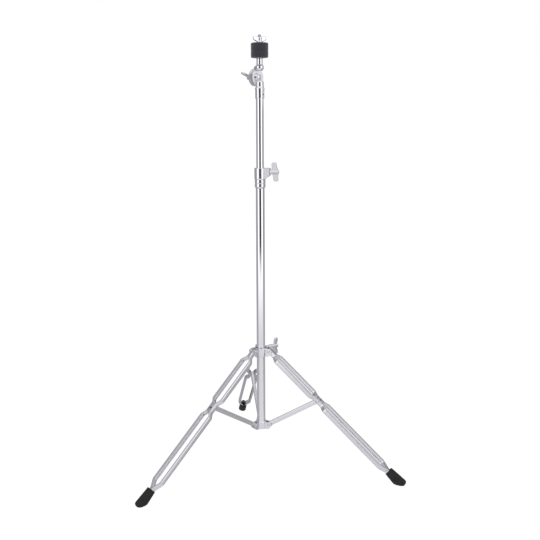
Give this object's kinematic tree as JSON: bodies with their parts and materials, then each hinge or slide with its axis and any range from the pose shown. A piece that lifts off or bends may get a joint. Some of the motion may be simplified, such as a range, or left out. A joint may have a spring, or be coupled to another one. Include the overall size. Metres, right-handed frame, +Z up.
{
  "type": "straight cymbal stand",
  "caption": "Folding double-braced tripod stand with a telescoping column, ratchet tilter, felts and wing nut that hold a cymbal.",
  "frame": {"origin": "on the floor straight under the column axis, legs fully spread", "axes": "+Z up along the column; +Y along the back leg, the other two legs 120 degrees to each side"},
  "size_m": [0.6844, 0.5953, 1.1168],
  "materials": {
    "tube_chrome": "polished chrome plate on steel tube",
    "pressed_steel": "chrome-plated pressed steel channel",
    "cast_chrome": "chrome-plated zinc casting",
    "hardware": "plated steel hardware",
    "rubber": "matt moulded rubber",
    "nylon": "moulded nylon",
    "felt": "pressed wool felt"
  },
  "bodies": {
    "base": {"base_tube": "tube_chrome", "base_tube_plug": "nylon", "lower_collar": "cast_chrome", "lower_collar_pin": "hardware", "strut_pivot_rivets": "hardware", "height_clamp": "cast_chrome"},
    "clamp_bolt": {"clamp_wing_bolt": "cast_chrome"},
    "liner": {"clamp_liner": "nylon"},
    "mast": {"upper_tube": "tube_chrome", "upper_tube_plug": "nylon", "tilter_lower_arm": "cast_chrome", "tilter_roll_pin": "hardware", "tilter_bolt": "hardware", "tilter_washer": "hardware"},
    "tilter_nut": {"tilter_wing_nut": "cast_chrome"},
    "cymbal_arm": {"tilter_upper_arm": "cast_chrome", "cymbal_rod": "hardware", "seat_washer": "hardware", "cymbal_sleeve": "nylon", "lower_felt": "felt"},
    "top_felt": {"upper_felt": "felt"},
    "cymbal_nut": {"cymbal_wing_nut": "cast_chrome"},
    "collar": {"leg_collar": "cast_chrome", "leg_collar_bush": "nylon", "leg_pivot_rivets": "hardware"},
    "collar_bolt": {"leg_collar_wing_bolt": "cast_chrome"},
    "back_leg": {"back_leg_strip_a": "pressed_steel", "back_leg_strip_b": "pressed_steel", "back_leg_pivot_bush": "nylon", "back_brace_rivet": "hardware", "back_rubber_foot": "rubber"},
    "back_brace": {"back_strut": "pressed_steel"},
    "left_leg": {"left_leg_strip_a": "pressed_steel", "left_leg_strip_b": "pressed_steel", "left_leg_pivot_bush": "nylon", "left_brace_rivet": "hardware", "left_rubber_foot": "rubber"},
    "left_brace": {"left_strut": "pressed_steel"},
    "right_leg": {"right_leg_strip_a": "pressed_steel", "right_leg_strip_b": "pressed_steel", "right_leg_pivot_bush": "nylon", "right_brace_rivet": "hardware", "right_rubber_foot": "rubber"},
    "right_brace": {"right_strut": "pressed_steel"}
  },
  "joints": [
    {"name": "mast_swivel", "type": "hinge", "parent": "base", "child": "liner", "pos_m": [0, 0, 0.7944], "axis": [0, 0, 1], "continuous": true},
    {"name": "mast_height", "type": "slide", "parent": "liner", "child": "mast", "axis": [0, 0, 1], "range_m": [-0.165, 0.3]},
    {"name": "clamp_bolt_turn", "type": "hinge", "parent": "base", "child": "clamp_bolt", "pos_m": [0.02393, -0.01016, 0.7849], "axis": [0.9205, -0.3907, 0], "range_deg": [0, 1080]},
    {"name": "cymbal_tilt", "type": "hinge", "parent": "mast", "child": "cymbal_arm", "pos_m": [0, 0, 1.0159], "axis": [0.6428, -0.766, 0], "range_deg": [-90, 90]},
    {"name": "tilter_nut_turn", "type": "hinge", "parent": "mast", "child": "tilter_nut", "pos_m": [0, 0, 1.0159], "axis": [-0.6428, 0.766, 0], "range_deg": [0, 1080]},
    {"name": "top_felt_lift", "type": "slide", "parent": "cymbal_arm", "child": "top_felt", "axis": [0, 0, 1], "range_m": [0, 0.00625]},
    {"name": "cymbal_nut_turn", "type": "hinge", "parent": "top_felt", "child": "cymbal_nut", "pos_m": [0, 0, 1.0977], "axis": [0, 0, 1], "range_deg": [-1.2, 1801.9]},
    {"name": "leg_fold", "type": "slide", "parent": "base", "child": "collar", "axis": [0, 0, 1], "range_m": [0, 0.1356]},
    {"name": "collar_bolt_turn", "type": "hinge", "parent": "collar", "child": "collar_bolt", "pos_m": [0.03377, 0.0195, 0.3176], "axis": [0.866, 0.5, 0], "range_deg": [0, 1080]},
    {"name": "back_leg_swing", "type": "hinge", "parent": "collar", "child": "back_leg", "pos_m": [0, 0.024, 0.3166], "axis": [-1, 0, 0], "range_deg": [-0.2, 48.4]},
    {"name": "back_strut_swing", "type": "hinge", "parent": "base", "child": "back_brace", "pos_m": [0, 0.023, 0.111], "axis": [-1, 0, 0], "range_deg": [-57.84, 0.2]},
    {"name": "left_leg_swing", "type": "hinge", "parent": "collar", "child": "left_leg", "pos_m": [-0.02079, -0.012, 0.3166], "axis": [0.5, -0.866, 0], "range_deg": [-0.2, 48.4]},
    {"name": "left_strut_swing", "type": "hinge", "parent": "base", "child": "left_brace", "pos_m": [-0.01992, -0.0115, 0.111], "axis": [0.5, -0.866, 0], "range_deg": [-57.84, 0.2]},
    {"name": "right_leg_swing", "type": "hinge", "parent": "collar", "child": "right_leg", "pos_m": [0.02079, -0.012, 0.3166], "axis": [0.5, 0.866, 0], "range_deg": [-0.2, 48.4]},
    {"name": "right_strut_swing", "type": "hinge", "parent": "base", "child": "right_brace", "pos_m": [0.01992, -0.0115, 0.111], "axis": [0.5, 0.866, 0], "range_deg": [-57.84, 0.2]}
  ],
  "couplings": [
    {"joint": "cymbal_nut_turn", "follows": "top_felt_lift", "rad_per_m": 5026.5},
    {"joint": "back_leg_swing", "follows": "leg_fold", "rad_per_m": 6.1997},
    {"joint": "back_strut_swing", "follows": "leg_fold", "rad_per_m": -7.4134},
    {"joint": "left_leg_swing", "follows": "leg_fold", "rad_per_m": 6.1997},
    {"joint": "left_strut_swing", "follows": "leg_fold", "rad_per_m": -7.4134},
    {"joint": "right_leg_swing", "follows": "leg_fold", "rad_per_m": 6.1997},
    {"joint": "right_strut_swing", "follows": "leg_fold", "rad_per_m": -7.4134}
  ]
}
